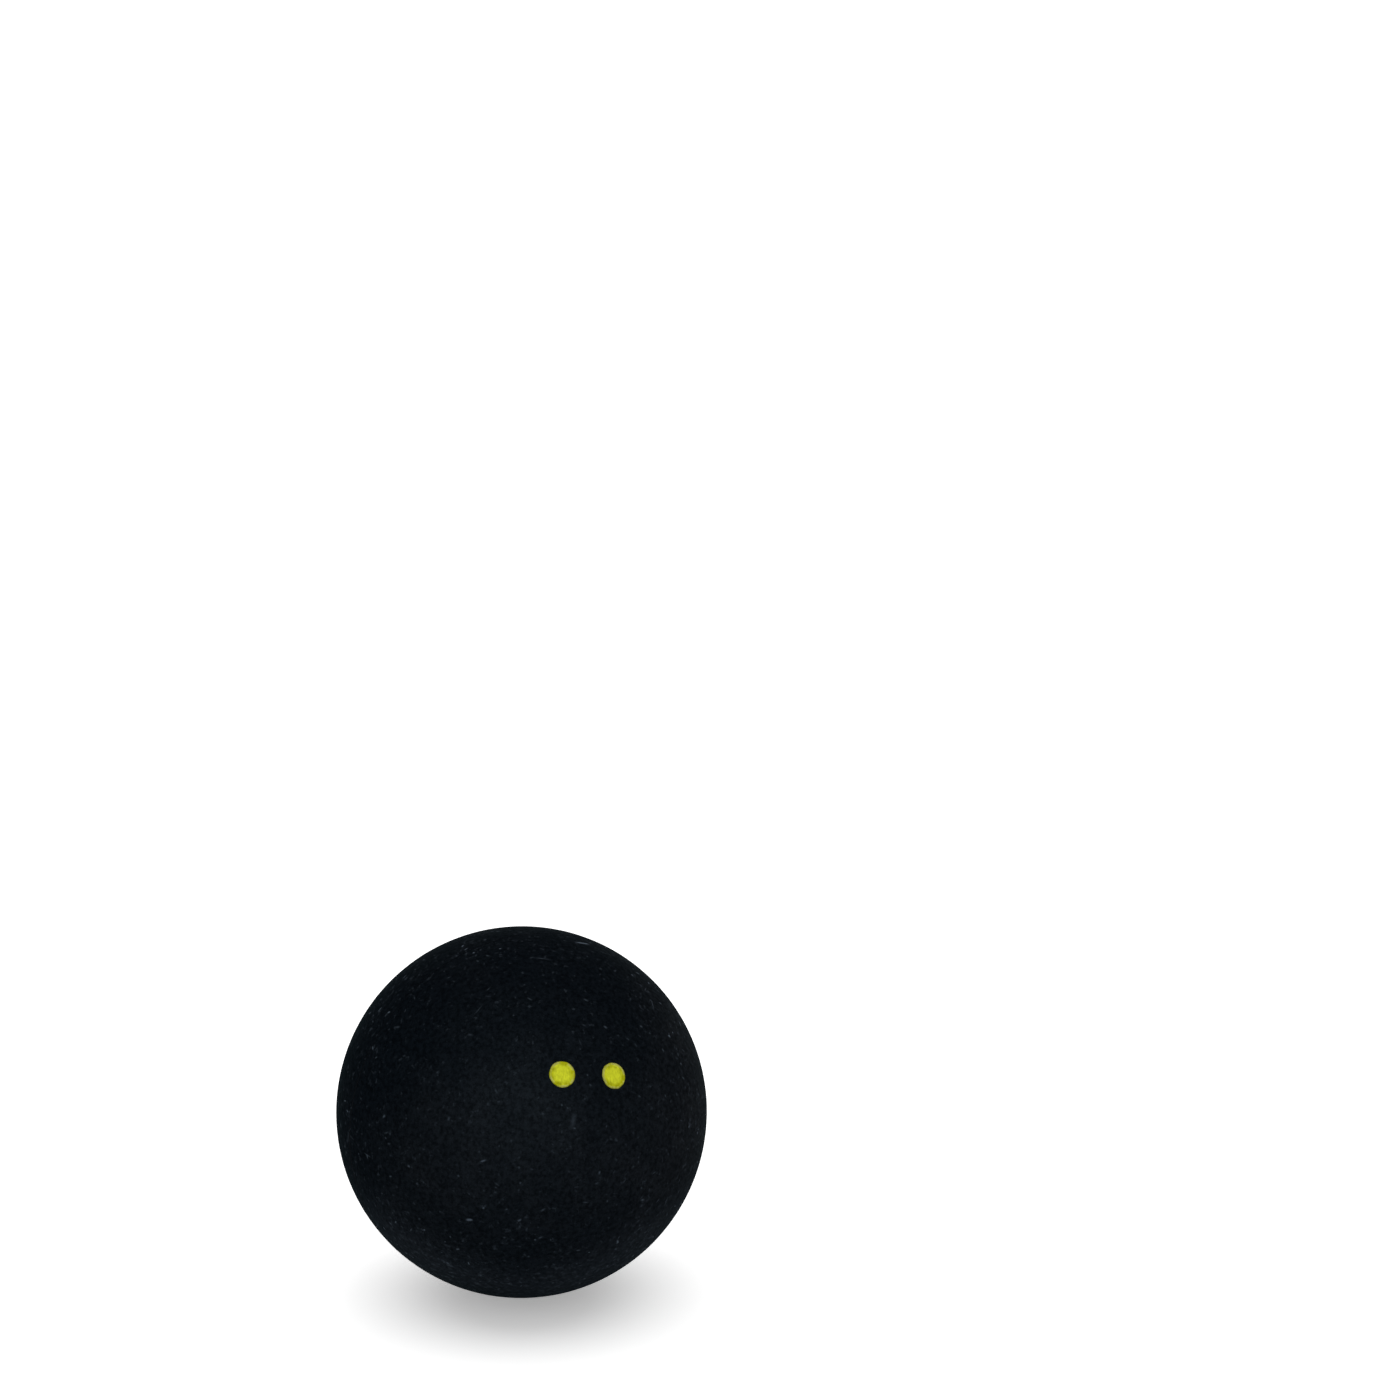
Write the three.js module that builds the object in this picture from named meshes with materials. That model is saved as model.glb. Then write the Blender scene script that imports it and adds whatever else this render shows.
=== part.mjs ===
// A squash ball: two moulded rubber half shells cemented rim to rim round a sealed hollow, with two painted
// dots on the front half. Millimetres, +Z up. The origin is the ball's centre, the seam lies in the plane
// Y = 0, and the dots face the front, -Y.
import * as THREE from 'three';

// Driving dimensions, in millimetres
const ballDiameter = 40; // playing size
const wallThickness = 5.2; // rubber wall of each half shell
const bondThickness = 0.2; // cured cement between the two rims
const rimBevel = 0.6; // bevel on the inner edge of each rim, filled by the cement
const beadHeight = 0.3; // how far the squeezed-out cement stands into the hollow
const dotDiameter = 2.75; // painted dot, measured along the surface
const dotGap = 3.05; // bare rubber between the two dots, measured along the surface
const dotThickness = 0.08; // paint film at the middle of a dot
const dotShoulder = 0.2; // width of the rounded edge of the paint film
const paintClearance = 0.02; // between the paint and the faceted rubber under it

// How the ball lies, in degrees
const dotsRise = 29.4; // the pair of dots sits this far above the pole of the front half
const dotsRoll = 10.2; // the pair leans, with the right dot lower

// Facets
const ballFacets = 64; // round the seam
const ballArcFacets = 16; // along an arc from the pole of a half shell to its rim
const dotFacets = 28; // round a dot
const dotArcFacets = 4; // along an arc from the middle of a dot to its edge

// Sizes that follow
const outerRadius = ballDiameter / 2;
const innerRadius = outerRadius - wallThickness;
const rimLevel = bondThickness / 2; // distance of each rim face from the seam plane
const rimOuter = { x: Math.sqrt(outerRadius ** 2 - rimLevel ** 2), y: rimLevel };
const bevelOuter = { x: innerRadius + rimBevel, y: rimLevel };
const bevelLevel = rimLevel + rimBevel;
const bevelInner = { x: Math.sqrt(innerRadius ** 2 - bevelLevel ** 2), y: bevelLevel };

const pole = -Math.PI / 2; // profiles are drawn round the Y axis, with the front pole at -Y

const rubber = new THREE.MeshStandardMaterial({ color: 0x0d1114, roughness: 0.78, metalness: 0 });
const cement = new THREE.MeshStandardMaterial({ color: 0x14120f, roughness: 0.6, metalness: 0 });
const paint = new THREE.MeshStandardMaterial({ color: 0xb9c026, roughness: 0.5, metalness: 0 });

// A path gives each of its arcs two steps for every division.
function revolve(profile, arcFacets, facets) {
  return new THREE.LatheGeometry(profile.getPoints(arcFacets / 2), facets);
}

// One moulding serves for both halves: a thick hemispherical cup with a flat rim, bevelled on its inner edge.
function halfShellGeometry() {
  const rimAngle = -Math.asin(rimLevel / outerRadius);
  const bevelAngle = -Math.asin(bevelLevel / innerRadius);
  const profile = new THREE.Path();
  profile.absarc(0, 0, outerRadius, pole, rimAngle, false);
  profile.lineTo(bevelOuter.x, -bevelOuter.y);
  profile.lineTo(bevelInner.x, -bevelInner.y);
  profile.absarc(0, 0, innerRadius, bevelAngle, pole, true);
  return revolve(profile, ballArcFacets, ballFacets);
}

// The cement fills the joint between the rims flush with the outside, and stands out inside as a bead.
function seamGeometry() {
  const profile = new THREE.Path();
  profile.moveTo(rimOuter.x, -rimOuter.y);
  profile.lineTo(outerRadius, 0);
  profile.lineTo(rimOuter.x, rimOuter.y);
  profile.lineTo(bevelOuter.x, bevelOuter.y);
  profile.lineTo(bevelInner.x, bevelInner.y);
  profile.quadraticCurveTo(bevelInner.x - 2 * beadHeight, 0, bevelInner.x, -bevelInner.y);
  profile.lineTo(bevelOuter.x, -bevelOuter.y);
  profile.closePath();
  return revolve(profile, ballArcFacets, ballFacets);
}

// A spot of paint: a thin round film that follows the ball, with a rounded edge.
function dotGeometry() {
  const underRadius = outerRadius + paintClearance;
  const topRadius = underRadius + dotThickness;
  const edgeAngle = pole + dotDiameter / 2 / outerRadius;
  const shoulderAngle = edgeAngle - dotShoulder / outerRadius;
  const at = (radius, angle) => [radius * Math.cos(angle), radius * Math.sin(angle)];
  const profile = new THREE.Path();
  profile.absarc(0, 0, topRadius, pole, shoulderAngle, false);
  profile.quadraticCurveTo(...at(topRadius, edgeAngle), ...at(underRadius, edgeAngle));
  profile.absarc(0, 0, underRadius, edgeAngle, pole, true);
  return revolve(profile, dotArcFacets, dotFacets);
}

function piece(name, geometry, material) {
  const mesh = new THREE.Mesh(geometry, material);
  mesh.name = name;
  return mesh;
}

const ball = new THREE.Group();

const moulding = halfShellGeometry();
const frontHalf = piece('front_half_shell', moulding, rubber);
const rearHalf = piece('rear_half_shell', moulding, rubber);
rearHalf.rotation.z = Math.PI; // the same moulding, turned to face the first
ball.add(frontHalf, rearHalf, piece('seam_cement', seamGeometry(), cement));

const dots = new THREE.Group();
dots.rotation.set(-THREE.MathUtils.degToRad(dotsRise), THREE.MathUtils.degToRad(dotsRoll), 0);
const halfPair = (dotDiameter + dotGap) / 2 / outerRadius; // angle from the middle of the pair to a dot
const spot = dotGeometry();
for (const [name, side] of [['left_dot', -1], ['right_dot', 1]]) {
  const dot = piece(name, spot, paint);
  dot.rotation.z = side * halfPair;
  dots.add(dot);
}
ball.add(dots);

export default ball;
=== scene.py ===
import math

import bmesh
import bpy
from mathutils import Matrix, Vector, noise


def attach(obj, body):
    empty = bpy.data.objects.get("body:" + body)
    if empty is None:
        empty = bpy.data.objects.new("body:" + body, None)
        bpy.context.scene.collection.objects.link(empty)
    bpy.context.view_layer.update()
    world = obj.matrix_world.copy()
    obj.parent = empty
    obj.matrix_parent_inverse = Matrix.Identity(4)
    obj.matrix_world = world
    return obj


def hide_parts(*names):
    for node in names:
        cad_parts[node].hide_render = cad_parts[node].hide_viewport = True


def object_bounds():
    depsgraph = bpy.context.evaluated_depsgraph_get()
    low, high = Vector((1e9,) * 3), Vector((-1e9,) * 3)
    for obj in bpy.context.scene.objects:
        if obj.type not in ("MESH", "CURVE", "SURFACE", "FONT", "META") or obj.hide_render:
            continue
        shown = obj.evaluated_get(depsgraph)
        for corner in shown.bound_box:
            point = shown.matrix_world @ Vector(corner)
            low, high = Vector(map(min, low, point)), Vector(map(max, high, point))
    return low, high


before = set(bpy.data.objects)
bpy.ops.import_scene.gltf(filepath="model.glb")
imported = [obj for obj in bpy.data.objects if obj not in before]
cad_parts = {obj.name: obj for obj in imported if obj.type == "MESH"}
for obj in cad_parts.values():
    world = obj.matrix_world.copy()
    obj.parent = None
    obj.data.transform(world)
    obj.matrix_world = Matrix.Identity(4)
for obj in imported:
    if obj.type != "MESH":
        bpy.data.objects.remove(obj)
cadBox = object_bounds()
scene = bpy.context.scene
print("frame loaded:", ", ".join(sorted(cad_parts)))

up = Vector((0, 0, 1))
millimetres = 1000  # in a metre, the unit of every size on the ball


def nodePoints(name):
    return [vertex.co.copy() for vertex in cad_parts[name].data.vertices]


def fromAxis(point):  # distance from the line through the two poles
    return math.hypot(point.x, point.z)


rimSlack = 1.01  # a point this near counts as on the rim face

# sizes of the ball, read off the frame
shellPoints = nodePoints("front_half_shell")
seamPoints = nodePoints("seam_cement")
ballRadius = (cadBox[1].x - cadBox[0].x) / 2
hollowRadius = min(point.length for point in shellPoints)
rimLevel = -max(point.y for point in shellPoints)  # each rim face lies this far from the seam plane
rimInner = min(fromAxis(point) for point in shellPoints if point.y > -rimSlack * rimLevel)
rimOuter = math.sqrt(ballRadius ** 2 - rimLevel ** 2)
bevelLevel = max(point.y for point in seamPoints)
bevelRadius = math.sqrt(hollowRadius ** 2 - bevelLevel ** 2)
beadInner = min(fromAxis(point) for point in seamPoints)
floorLevel = cadBox[0].z
wall = ballRadius - hollowRadius
print(f"ball {2 * ballRadius * millimetres:.1f} mm across, wall {wall * millimetres:.1f} mm")


# shader sums written as plain Python
class Wire:
    def __init__(self, board, socket):
        self.board = board
        self.socket = socket

    def also(self, output):  # another output of the same node
        return Wire(self.board, self.socket.node.outputs[output])

    def maths(self, operation, first, second):
        return self.board.node("ShaderNodeMath", {"operation": operation}, {0: first, 1: second})

    def __add__(self, other):
        return self.maths("ADD", self, other)

    def __radd__(self, other):
        return self.maths("ADD", other, self)

    def __sub__(self, other):
        return self.maths("SUBTRACT", self, other)

    def __rsub__(self, other):
        return self.maths("SUBTRACT", other, self)

    def __mul__(self, other):
        return self.maths("MULTIPLY", self, other)

    def __rmul__(self, other):
        return self.maths("MULTIPLY", other, self)

    def __abs__(self):
        return self.maths("ABSOLUTE", self, 0.0)


noiseSpan = (0.3, 0.7)  # nearly all of a noise texture lies between these
mixShare, mixFirst, mixSecond, mixed = 0, 6, 7, 2  # colour sockets of a Mix node, whose names repeat


# a node tree and the one method that adds to it
class Board:
    def __init__(self, tree):
        self.tree = tree
        tree.nodes.clear()

    def node(self, kind, settings=None, sockets=None, output=0):
        made = self.tree.nodes.new(kind)
        for name, value in (settings or {}).items():
            setattr(made, name, value)
        for key, value in (sockets or {}).items():
            if isinstance(value, Wire):
                self.tree.links.new(value.socket, made.inputs[key])
            else:
                made.inputs[key].default_value = value
        return Wire(self, made.outputs[output]) if made.outputs else None

    def noise(self, place, size, detail=2.0, roughness=0.5):  # size is metres across one blotch
        sockets = {"Vector": place, "Scale": 1 / size, "Detail": detail, "Roughness": roughness}
        return self.node("ShaderNodeTexNoise", {}, sockets)

    def mottle(self, place, size):  # soft patches, from none to full
        return self.between(self.noise(place, size), *noiseSpan)

    def cells(self, place, size):  # one point in each cell, with a colour of its own
        return self.node("ShaderNodeTexVoronoi", {}, {"Vector": place, "Scale": 1 / size})

    def between(self, value, low, high):  # 0 below low, 1 above high, smooth in between
        sockets = {"Value": value, "From Min": low, "From Max": high}
        return self.node("ShaderNodeMapRange", {"interpolation_type": "SMOOTHSTEP"}, sockets)

    def spread(self, value, ends):  # from the first end at 0 to the second at 1
        return ends[0] + (ends[1] - ends[0]) * value

    def vector(self, operation, first, second=(0, 0, 0)):
        output = "Value" if operation == "DOT_PRODUCT" else "Vector"
        return self.node("ShaderNodeVectorMath", {"operation": operation}, {0: first, 1: second}, output)

    def mix(self, share, first, second):
        sockets = {mixShare: share, mixFirst: first, mixSecond: second}
        return self.node("ShaderNodeMix", {"data_type": "RGBA"}, sockets, output=mixed)

    def tint(self, colour, value):  # a colour made lighter or darker by a plain value
        grey = self.node("ShaderNodeCombineColor", {}, {0: value, 1: value, 2: value})
        settings = {"data_type": "RGBA", "blend_type": "MULTIPLY"}
        sockets = {mixShare: 1.0, mixFirst: colour, mixSecond: grey}
        return self.node("ShaderNodeMix", settings, sockets, output=mixed)

    def bump(self, height, depth):
        return self.node("ShaderNodeBump", {}, {"Distance": depth, "Height": height})

    def seen(self):  # 1 for what the camera sees itself, in a gloss or through glass
        rays = self.node("ShaderNodeLightPath", output="Is Camera Ray")
        return rays + rays.also("Is Glossy Ray") + rays.also("Is Transmission Ray")

    def surface(self, sockets):
        skin = self.node("ShaderNodeBsdfPrincipled", {}, sockets)
        self.node("ShaderNodeOutputMaterial", {}, {"Surface": skin})


def newFinish(name):
    material = bpy.data.materials.new(name)
    material.use_nodes = True
    return material, Board(material.node_tree)


def rgb(colour):
    return (*colour, 1.0)


white = rgb((1, 1, 1))
pieces = []


def toPiece(bm, name, finish, node):
    bmesh.ops.recalc_face_normals(bm, faces=bm.faces)
    for face in bm.faces:
        face.smooth = True
    mesh = bpy.data.meshes.new(name)
    bm.to_mesh(mesh)
    bm.free()
    mesh.materials.append(finish)
    piece = bpy.data.objects.new(name, mesh)
    scene.collection.objects.link(piece)
    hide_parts(node)
    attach(piece, "root")
    pieces.append(piece)
    print(f"{name}: {len(mesh.polygons)} faces")


# what buffing leaves on the outside of the ball: long soft swells under a short grain
skinRelief = {
    "swellSize": 0.0026,
    "swellHeight": 0.000008,
    "grainSize": 0.00050,
    "grainHeight": 0.000004,
}


def skinHeight(point):
    swell = noise.noise(point / skinRelief["swellSize"])
    grain = noise.noise(point / skinRelief["grainSize"])
    return skinRelief["swellHeight"] * swell + skinRelief["grainHeight"] * grain


def buff(verts):
    for vert in verts:
        vert.co += vert.co.normalized() * skinHeight(vert.co)


# the two half shells: thick cups of buffed black rubber, with a dusty skin and some painted light: a fill
# on the far side, a floor glow and sheen low on the outline, shade where the film is thinned, a glint on
# the top
halfShell = {
    "skinDivisions": 8,
    "hollowRings": 12,
    "rimSnap": 0.00004,  # points of the skin this near the rim face are drawn onto it
    "colour": (0.0004, 0.0013, 0.0024),
    "paintedFillColour": (0.0016, 0.0022, 0.0030),  # painted fill light on the far side, where the front softbox doesn't reach
    "grain": {"size": 0.00045, "detail": 3.0, "roughness": 0.7},
    "grainShade": (0.56, 1.44),
    "blotchSize": 0.0045,
    "roughness": (0.70, 0.80),
    "bumpDepth": 0.00003,
    "sheen": 0.0069,
    "sheenTint": (0.46, 0.90, 1.0),
    "sheenRoughness": 0.30,
    # the thin glossy film that moulding leaves, and how much of it is taken off two sides, the left and
    # the underside, as painted shade that dims their reflection
    "film": (0.044, 0.055),
    "filmOffForShade": 0.6,
    "filmLowOff": 0.6,
    "filmIndex": 2.0,
    "filmRoughness": 0.60,
    # sides that look different: none of it beyond the first cosine, all of it within the second
    "sides": {
        "low": {"toward": Vector((0, 0, -1)), "from": -1.0, "to": 1.0},
        "underside": {"toward": Vector((-0.05, 0, -0.999)), "from": 0.10, "to": 0.68},
        # toward the front: less dust here, so the pale dust marks gather on the outline as a painted sheen
        "facingFront": {"toward": Vector((-0.38, -0.86, 0.33)), "from": 0.36, "to": 0.72},
        # the left side, whose film is thinned as painted shade
        "paintedShadeSide": {"toward": Vector((-0.85, 0.5, 0.1)), "from": 0.3, "to": 0.85},
        "far": {"toward": Vector((0.38, 0.86, -0.33)), "from": -0.3, "to": 0.5},
    },
    # dust: how much there is everywhere, what adds to it or takes it off, and the marks that it makes
    "dustColour": (0.045, 0.055, 0.068),
    "dustEverywhere": 0.5,
    "dustBy": {"blotch": 0.8, "low": 0.8, "settledDustAndGlow": 0.6, "facingFront": -0.8},
    "dustVeilAndPaintedGlow": 0.25,  # a veil of pale dust colour on the underside away from the front: partly dust, partly a painted reflection of the floor on the lower outline
    "crumbs": {"size": 0.00065, "detail": 2.0, "roughness": 0.6},
    "crumbLevel": 0.62,
    "crumbDustier": 0.06,
    "crumbFade": 0.30,
    "crumbShare": 0.38,
    # small marks: the room that each has to itself, its least and greatest length and width, its strength
    "dashes": {"cell": 0.00115, "length": (0.00012, 0.00046), "width": (0.00010, 0.00020), "share": 1.35},
    "hairs": {"cell": 0.0028, "length": (0.00027, 0.00117), "width": (0.00006, 0.00012), "share": 0.75},
    "pinpoints": {"cell": 0.0030, "length": (0.00012, 0.00026), "width": (0.00012, 0.00022), "share": 2.2},
    "markDepth": 0.0004,
    "headingMix": (50, 60, 70),  # scrambles the colour of a cell into the heading of its mark
    # marks that stand out: where each lies, the way that it runs, its length, width and strength
    "lint": (
        {  # a speck low on the front
            "toward": Vector((-0.629, -0.733, -0.259)), "along": Vector((0.923, -0.333, 0.196)),
            "length": 0.00044, "width": 0.00020, "share": 1.6,
        },
        {  # a painted glint near the top, drawn as a pale streak
            "toward": Vector((0.316, -0.110, 0.942)), "along": Vector((0.946, 0.117, -0.303)),
            "length": 0.00110, "width": 0.00026, "share": 1.8,
        },
        {  # a faint smear under the dots
            "toward": Vector((-0.127, -0.950, 0.284)), "along": Vector((-0.318, -0.232, -0.919)),
            "length": 0.00120, "width": 0.00038, "share": 0.20,
        },
    ),
}


def strewCrumbs(board, place, dusty):  # ragged crumbs of dust, more of them where it is dusty
    level = halfShell["crumbLevel"] - halfShell["crumbDustier"] * dusty
    crumbs = board.noise(place, **halfShell["crumbs"])
    return board.between(crumbs, level, level + halfShell["crumbFade"]) * halfShell["crumbShare"]


def nearness(board, offset, reaches):  # fades out along each of three directions at its own reach
    fades = []
    for direction, reach in reaches:
        away = abs(board.vector("DOT_PRODUCT", offset, direction))
        fades.append(1 - board.between(away, 0.0, reach))
    return fades[0] * fades[1] * fades[2]


def strewMarks(board, place, outward, mark):  # short marks along the surface, each its own way
    cell = board.cells(place, mark["cell"])
    lot = board.node("ShaderNodeSeparateColor", {}, {0: cell.also("Color")})
    heading = board.vector("SINE", board.vector("MULTIPLY", cell.also("Color"), halfShell["headingMix"]))
    lengthwise = board.vector("NORMALIZE", board.vector("CROSS_PRODUCT", heading, outward))
    crosswise = board.vector("CROSS_PRODUCT", lengthwise, outward)
    offset = board.vector("SUBTRACT", place, cell.also("Position"))
    reaches = (
        (outward, halfShell["markDepth"]),
        (lengthwise, board.spread(lot.also("Green"), mark["length"])),
        (crosswise, board.spread(lot.also("Blue"), mark["width"])),
    )
    strength = lot * lot * lot * mark["share"]  # many faint, few bright
    return strength * nearness(board, offset, reaches)


def dropLint(board, place, lint):
    outward = lint["toward"]
    along = lint["along"]
    offset = board.vector("SUBTRACT", place, outward * ballRadius)
    across = outward.cross(along)
    reaches = ((outward, lint["width"]), (along, lint["length"]), (across, lint["width"]))
    return lint["share"] * nearness(board, offset, reaches)


def blackRubber():
    look = halfShell
    material, board = newFinish("buffed_black_rubber")
    place = board.node("ShaderNodeTexCoord", output="Object")
    outward = board.vector("NORMALIZE", place)
    grain = board.noise(place, **look["grain"])
    on = {"blotch": board.mottle(place, look["blotchSize"])}
    for name, side in look["sides"].items():
        lean = board.vector("DOT_PRODUCT", outward, side["toward"])
        on[name] = board.between(lean, side["from"], side["to"])
    on["settledDustAndGlow"] = on["underside"] * (1 - on["facingFront"])  # the underside away from the front, where dust gathers and a painted floor glow goes

    # dust and the marks that it makes, with painted light among them: a floor glow low on the outline and
    # a glint near the top
    dusty = look["dustEverywhere"]
    for cause, share in look["dustBy"].items():
        dusty += share * on[cause]
    marks = strewCrumbs(board, place, dusty) + look["dustVeilAndPaintedGlow"] * on["settledDustAndGlow"] * grain
    for lint in look["lint"]:
        marks += dropLint(board, place, lint)
    for kind in ("dashes", "hairs", "pinpoints"):
        marks += dusty * strewMarks(board, place, outward, look[kind])

    shade = board.spread(board.between(grain, *noiseSpan), look["grainShade"])
    # painted fill light: the base colour is lighter on the far side, where the front softbox doesn't reach
    colour = board.mix(on["far"], rgb(look["colour"]), rgb(look["paintedFillColour"]))
    # painted shade: less film on the left side and underneath dims their reflection
    filmLeft = (1 - look["filmOffForShade"] * on["paintedShadeSide"]) * (1 - look["filmLowOff"] * on["low"])
    board.surface({
        "Base Color": board.mix(marks, board.tint(colour, shade), rgb(look["dustColour"])),
        "Roughness": board.spread(grain, look["roughness"]),
        "Normal": board.bump(grain + marks, look["bumpDepth"]),
        "Specular IOR Level": 0.0,
        "Coat Weight": board.spread(on["blotch"], look["film"]) * shade * filmLeft,
        "Coat Roughness": look["filmRoughness"],
        "Coat IOR": look["filmIndex"],
        "Sheen Weight": look["sheen"],
        "Sheen Roughness": look["sheenRoughness"],
        "Sheen Tint": rgb(look["sheenTint"]),
    })
    return material


def newVerts(made):
    return [item for item in made["geom"] if isinstance(item, bmesh.types.BMVert)]


def drawRing(bm, loop, radius, level):  # extrude a loop of edges to a round ring on the ball's axis
    ring = newVerts(bmesh.ops.extrude_edge_only(bm, edges=loop))
    for vert in ring:
        stretch = radius / fromAxis(vert.co)
        vert.co = Vector((vert.co.x * stretch, level, vert.co.z * stretch))
    inRing = set(ring)
    edges = [edge for vert in ring for edge in vert.link_edges if edge.other_vert(vert) in inRing]
    return list(dict.fromkeys(edges))  # each edge once, in a steady order


def buildHalf(side):  # side is -1 for the front and 1 for the rear
    bm = bmesh.new()
    bmesh.ops.create_icosphere(bm, subdivisions=halfShell["skinDivisions"], radius=ballRadius)
    everything = bm.verts[:] + bm.edges[:] + bm.faces[:]
    cut = {"plane_co": (0, side * rimLevel, 0), "plane_no": (0, -side, 0)}
    bmesh.ops.bisect_plane(bm, geom=everything, dist=halfShell["rimSnap"], clear_outer=True, **cut)
    rim = [edge for edge in bm.edges if edge.is_boundary]
    buff(bm.verts)
    for edge in rim:
        for vert in edge.verts:
            vert.co.y = side * rimLevel

    # rim face, bevel, then the hollow's wall ring by ring to its pole
    outline = [(rimInner, rimLevel), (bevelRadius, bevelLevel)]
    start = math.asin(bevelLevel / hollowRadius)
    for step in range(1, halfShell["hollowRings"]):
        angle = start + (math.pi / 2 - start) * step / halfShell["hollowRings"]
        outline.append((hollowRadius * math.cos(angle), hollowRadius * math.sin(angle)))
    loops = [rim]
    for radius, level in outline:
        loops.append(drawRing(bm, loops[-1], radius, side * level))
    last = newVerts(bmesh.ops.extrude_edge_only(bm, edges=loops[-1]))
    bmesh.ops.pointmerge(bm, verts=last, merge_co=(0, side * hollowRadius, 0))
    for edge in loops[0] + loops[1] + loops[2]:  # the edges of the rim and of its bevel stay sharp
        edge.smooth = False
    return bm


rubber = blackRubber()
toPiece(buildHalf(-1), "front_half_rubber", rubber, "front_half_shell")
toPiece(buildHalf(1), "rear_half_rubber", rubber, "rear_half_shell")


# the ring of cured cement, which shows as a hairline round the ball
seamRing = {
    "sides": 640,
    "dish": 0.000012,  # how far the buffed cement lies under the rubber
    "beadSteps": 6,
    "colour": (0.0008, 0.0014, 0.0024),
    "grain": {"size": 0.00030, "detail": 3.0, "roughness": 0.7},
    "grainShade": (0.6, 1.4),
    "roughness": (0.65, 0.75),
    "film": 0.05,
    "filmRoughness": 0.60,
    "bumpDepth": 0.00001,
}


def curedCement():
    look = seamRing
    material, board = newFinish("cured_rubber_cement")
    place = board.node("ShaderNodeTexCoord", output="Object")
    grain = board.noise(place, **look["grain"])
    shade = board.spread(grain, look["grainShade"])
    board.surface({
        "Base Color": board.tint(rgb(look["colour"]), shade),
        "Roughness": board.spread(grain, look["roughness"]),
        "Normal": board.bump(grain, look["bumpDepth"]),
        "Specular IOR Level": 0.0,
        "Coat Weight": look["film"] * shade,
        "Coat Roughness": look["filmRoughness"],
    })
    return material


def buildSeam():
    bm = bmesh.new()
    outline = [
        (rimOuter, -rimLevel),
        (ballRadius - seamRing["dish"], 0.0),
        (rimOuter, rimLevel),
        (rimInner, rimLevel),
        (bevelRadius, bevelLevel),
    ]
    for step in range(1, seamRing["beadSteps"]):
        turn = math.pi * step / seamRing["beadSteps"]
        inward = (bevelRadius - beadInner) * math.sin(turn)
        outline.append((bevelRadius - inward, bevelLevel * math.cos(turn)))
    outline += [(bevelRadius, -bevelLevel), (rimInner, -rimLevel)]
    verts = [bm.verts.new((radius, level, 0)) for radius, level in outline]
    edges = [bm.edges.new((verts[k - 1], verts[k])) for k in range(len(verts))]
    bmesh.ops.spin(
        bm, geom=verts + edges, cent=(0, 0, 0), axis=(0, 1, 0),
        angle=2 * math.pi, steps=seamRing["sides"], use_merge=True,
    )
    halfway = (rimInner + rimOuter) / 2
    buff([vert for vert in bm.verts if fromAxis(vert.co) > halfway])
    return bm


toPiece(buildSeam(), "seam_line", curedCement(), "seam_cement")


# the two dots: thin spots of yellow paint with a thicker lip
paintDot = {
    "sides": 112,
    "rings": 9,
    "film": 0.000040,
    "lip": 0.000030,  # the paint dries thicker at its edge
    "lipWidth": 0.20,  # as a share of the dot's radius
    "sunk": 0.000020,
    "creep": 1.03,  # wet paint has run a hair past the stamp
    "stray": 0.030,  # how far the edge wanders, as a share of the dot's radius
    "strayWaves": ((2.5, 1.0), (9, 0.5)),  # how many round the edge, and how strong
    "straySeed": 7,
    "weld": 1e-8,
    "colour": (0.412, 0.408, 0.0135),
    "patchSize": 0.0007,
    # rings of another colour: where each comes in, in radii, and its strength off and on a patch
    "zones": {
        "thin": {"colour": (0.255, 0.243, 0.001), "from": 0.45, "to": 0.82, "share": (0.0, 1.2)},
        "lip": {"colour": (0.30, 0.28, 0.054), "from": 0.78, "to": 0.86, "share": (1.6, -0.2)},
        "edge": {"colour": (0.06, 0.058, 0.001), "from": 0.89, "to": 1.03, "share": (1.0, 1.0)},
    },
    "streaks": (5000, 5000, 900),  # a metre holds so many, and they run upright
    "streakShade": (0.6, 1.4),
    "roughness": (0.42, 0.58),
    "gloss": 0.03,
    "bumpDepth": 0.000008,
}


def yellowPaint():
    look = paintDot
    material, board = newFinish("yellow_dot_paint")
    place = board.node("ShaderNodeTexCoord", output="Object")
    rimward = board.node("ShaderNodeAttribute", {"attribute_name": "rimward"}, output="Fac")
    patch = board.mottle(place, look["patchSize"])
    streaks = board.noise(board.vector("MULTIPLY", place, look["streaks"]), 1.0)
    colour = rgb(look["colour"])
    for zone in look["zones"].values():
        share = board.between(rimward, zone["from"], zone["to"]) * board.spread(patch, zone["share"])
        colour = board.mix(share, colour, rgb(zone["colour"]))
    board.surface({
        "Base Color": board.tint(colour, board.spread(streaks, look["streakShade"])),
        "Roughness": board.spread(streaks, look["roughness"]),
        "Normal": board.bump(streaks, look["bumpDepth"]),
        "Specular IOR Level": look["gloss"],
    })
    return material


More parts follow.
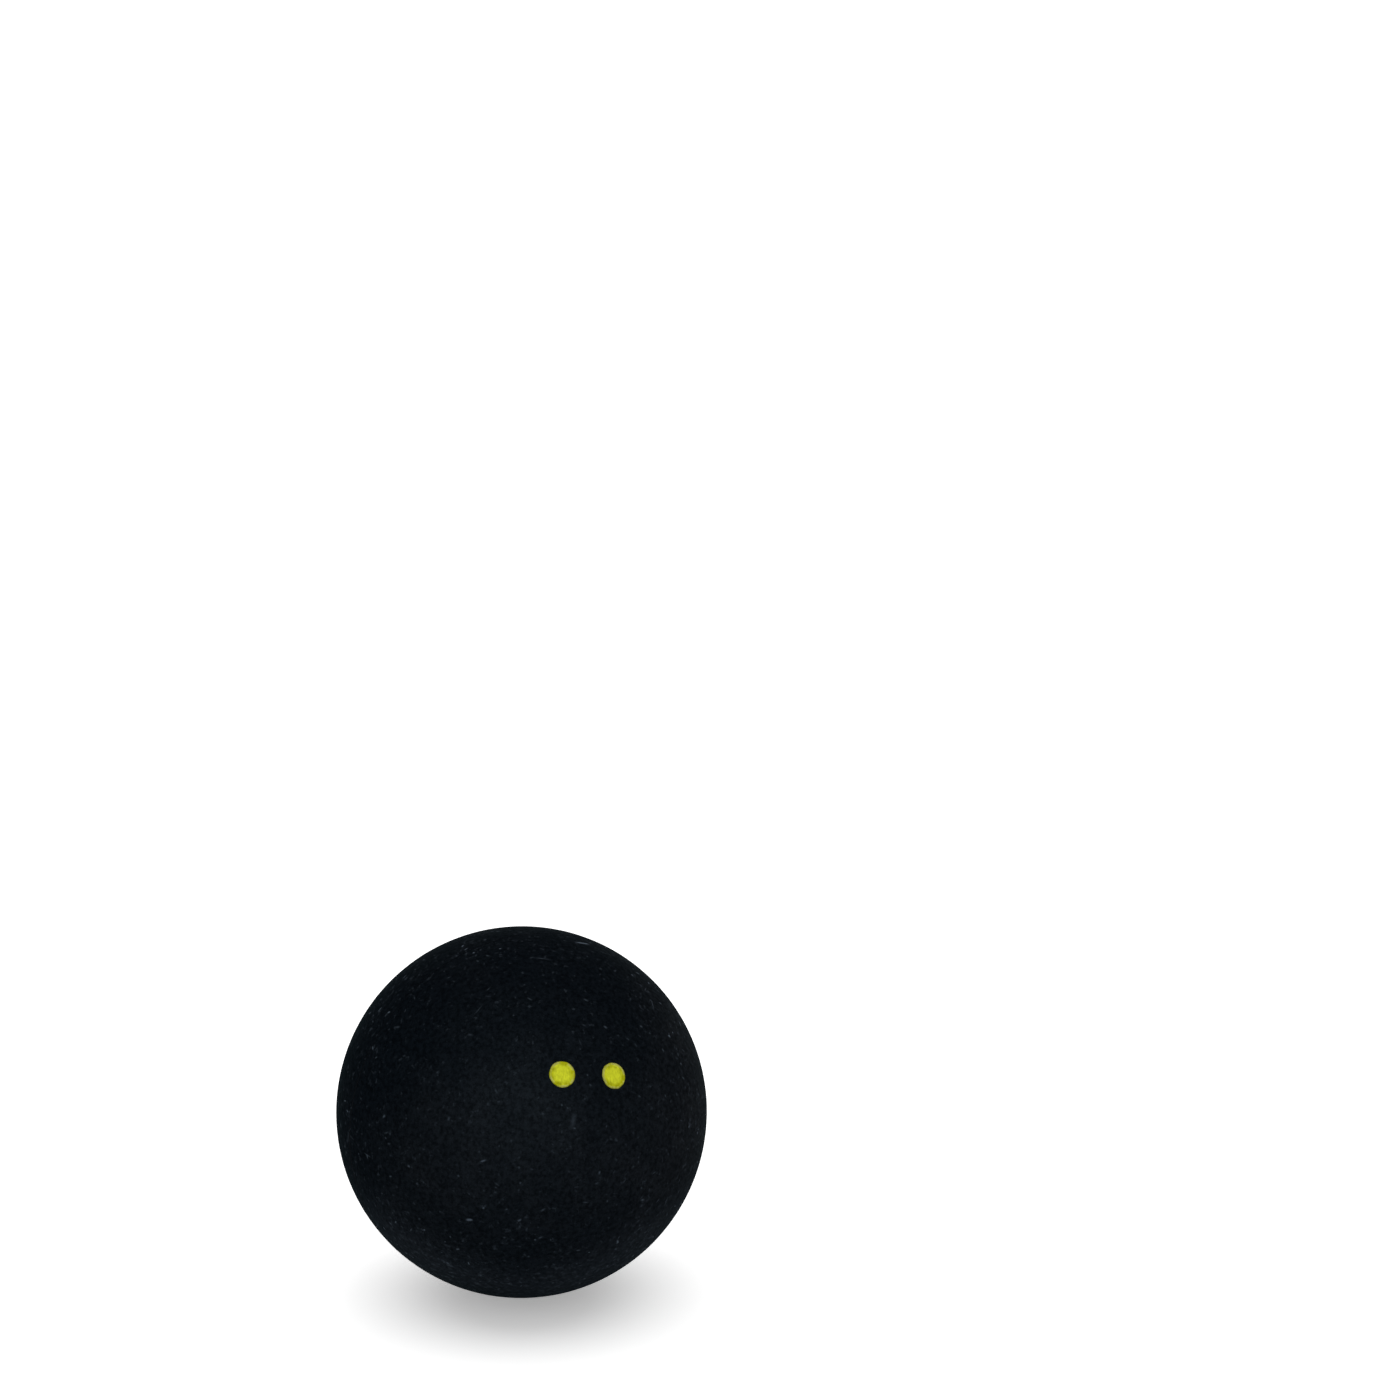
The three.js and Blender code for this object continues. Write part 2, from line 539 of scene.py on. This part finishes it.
def buildDot(node):
    points = nodePoints(node)
    axis = sum(points, Vector()).normalized()
    dotRadius = max(point.angle(axis) for point in points) * ballRadius * paintDot["creep"]
    across = axis.cross(up).normalized()
    along = axis.cross(across)

    bm = bmesh.new()
    rimward = bm.verts.layers.float.new("rimward")
    rings = paintDot["rings"]
    lipStart = 1 - paintDot["lipWidth"]
    outline = [(step / rings * lipStart, paintDot["film"]) for step in range(rings + 1)]
    for step in range(1, rings):
        turn = math.pi * step / rings
        swell = paintDot["lip"] * math.sin(turn) - paintDot["film"] * max(0, -math.cos(turn))
        outline.append((lipStart + paintDot["lipWidth"] * step / rings, paintDot["film"] + swell))
    outline += [(1.0, -paintDot["sunk"]), (0.0, -paintDot["sunk"])]
    verts = []
    for share, height in outline:
        verts.append(bm.verts.new((share * dotRadius, 0, height)))
        verts[-1][rimward] = share
    edges = [bm.edges.new(pair) for pair in zip(verts, verts[1:])]
    bmesh.ops.spin(
        bm, geom=verts + edges, cent=(0, 0, 0), axis=(0, 0, 1),
        angle=2 * math.pi, steps=paintDot["sides"], use_merge=True,
    )
    bmesh.ops.remove_doubles(bm, verts=bm.verts, dist=paintDot["weld"])

    # wrap the flat spot round the ball, with a slightly uneven edge
    for vert in bm.verts:
        flat = Vector((vert.co.x, vert.co.y))
        height = vert.co.z
        reach = flat.length
        heading = (across * flat.x + along * flat.y).normalized() if reach > 0 else across
        for waves, strength in paintDot["strayWaves"]:
            uneven = strength * noise.noise(heading * waves + axis * paintDot["straySeed"])
            reach += flat.length * paintDot["stray"] * uneven * vert[rimward]
        angle = reach / ballRadius
        spot = (axis * math.cos(angle) + heading * math.sin(angle)) * ballRadius
        vert.co = spot + spot.normalized() * (skinHeight(spot) + height)
    return bm


paint = yellowPaint()
toPiece(buildDot("left_dot"), "left_dot_paint", paint, "left_dot")
toPiece(buildDot("right_dot"), "right_dot_paint", paint, "right_dot")


# plain pale floor, white to the camera, that keeps the ball's shadow, and soft light
studio = {
    "floorSide": 8.0,
    "floorBounce": (0.60, 0.60, 0.60),
    "floorSeen": (0.98, 0.98, 0.98),
    "floorGlow": 0.33,
    "skyLight": 0.64,
    "skySeen": 1.0,
    "ceilingSeen": 0.2,
    "ceilingFrom": 0.14,  # heights on the unit sphere between which the sky turns grey
    "ceilingTo": 0.32,
    "overhead": 1.6,
    "overheadSpread": 100,  # degrees
    "overheadBack": 0.4,  # how far it leans behind the ball, as a slope
    "frontLight": 2.8,
    "frontColour": (0.70, 0.87, 1.0),
    "frontSide": 0.44,
    "frontReach": 1.2,  # times the camera's distance
    "frontRise": 0.10,
}


def buildFloor():
    bm = bmesh.new()
    bmesh.ops.create_grid(bm, x_segments=1, y_segments=1, size=studio["floorSide"] / 2)
    bmesh.ops.translate(bm, verts=bm.verts, vec=(0, 0, floorLevel))
    mesh = bpy.data.meshes.new("studio_floor")
    bm.to_mesh(mesh)
    bm.free()
    material, board = newFinish("pale_floor")
    seen = board.seen()
    board.surface({
        "Base Color": board.mix(seen, rgb(studio["floorBounce"]), rgb(studio["floorSeen"])),
        "Roughness": 1.0,
        "Specular IOR Level": 0.0,
        "Emission Color": board.tint(white, studio["floorGlow"] * seen),
        "Emission Strength": 1.0,
    })
    mesh.materials.append(material)
    floor = bpy.data.objects.new("studio_floor", mesh)
    scene.collection.objects.link(floor)


# an even soft light from all round, seen as white at the horizon and greyer overhead
def buildSky():
    world = bpy.data.worlds.new("white_studio")
    world.use_nodes = True
    scene.world = world
    board = Board(world.node_tree)
    heading = board.node("ShaderNodeTexCoord", output="Generated")
    lift = board.node("ShaderNodeSeparateXYZ", {}, {0: heading}, output="Z")
    ceiling = board.between(lift, studio["ceilingFrom"], studio["ceilingTo"])
    seenAs = board.spread(ceiling, (studio["skySeen"], studio["ceilingSeen"]))
    strength = studio["skyLight"] + board.seen() * (seenAs - studio["skyLight"])
    sky = board.node("ShaderNodeBackground", {}, {"Color": white, "Strength": strength})
    board.node("ShaderNodeOutputWorld", {}, {"Surface": sky})


# the view of the photograph: its lens, its tilt and where the ball lies in its frame
photoView = {
    "frame": 1400,
    "focal": 4800,  # pixels
    "ball": (521.8, 1111.5),
    "ballRadius": 185.2,
    "tilt": math.radians(15.2),
    "dotsAside": math.radians(23.8),  # the dots face this far to the right of the camera
    "sensor": 36,  # millimetres
    "clip": (0.01, 20),
}


def buildCamera():
    view = photoView
    data = bpy.data.cameras.new("photo_camera")
    data.sensor_width = view["sensor"]
    data.lens = view["sensor"] * view["focal"] / view["frame"]
    data.clip_start, data.clip_end = view["clip"]
    camera = bpy.data.objects.new("photo_camera", data)
    scene.collection.objects.link(camera)
    middle = view["frame"] / 2
    toBall = Vector((view["ball"][0] - middle, middle - view["ball"][1], -view["focal"]))
    distance = toBall.length * ballRadius / view["ballRadius"]
    tilted = Matrix.Rotation(math.pi / 2 - view["tilt"], 3, "X")
    sight = tilted @ toBall.normalized()
    turn = math.atan2(sight.x, sight.y) - view["dotsAside"]
    camera.rotation_euler = (math.pi / 2 - view["tilt"], 0, turn)
    camera.location = -distance * (Matrix.Rotation(turn, 3, "Z") @ sight)
    scene.camera = camera
    return camera


def hangLight(name, kind, place):
    light = bpy.data.lights.new(name, kind)
    lamp = bpy.data.objects.new(name, light)
    scene.collection.objects.link(lamp)
    lamp.location = place
    lamp.rotation_euler = (-place).to_track_quat("-Z", "Y").to_euler()
    return lamp


# a wide light overhead, a little behind the ball, that throws its shadow toward the camera
def buildOverhead(camera):
    back = -camera.location * Vector((1, 1, 0))
    place = back.normalized() * studio["overheadBack"] + up
    lamp = hangLight("overhead_softbox", "SUN", place)
    lamp.data.energy = studio["overhead"]
    lamp.data.angle = math.radians(studio["overheadSpread"])
    lamp.visible_glossy = False  # the grey ceiling stands in for it there


# a large softbox just over the camera, flagged off the floor so that it lights the ball alone
def buildFront(camera):
    place = camera.location * studio["frontReach"] + up * studio["frontRise"]
    lamp = hangLight("front_softbox", "AREA", place)
    lamp.data.shape = "DISK"
    lamp.data.size = studio["frontSide"]
    lamp.data.energy = studio["frontLight"]
    lamp.data.color = studio["frontColour"]
    lit = bpy.data.collections.new("lit_by_front_softbox")
    for piece in pieces:
        lit.objects.link(piece)
    lamp.light_linking.receiver_collection = lit


buildFloor()
buildSky()
camera = buildCamera()
buildOverhead(camera)
buildFront(camera)
scene.view_settings.view_transform = "Standard"
print("studio, lights and camera ready")
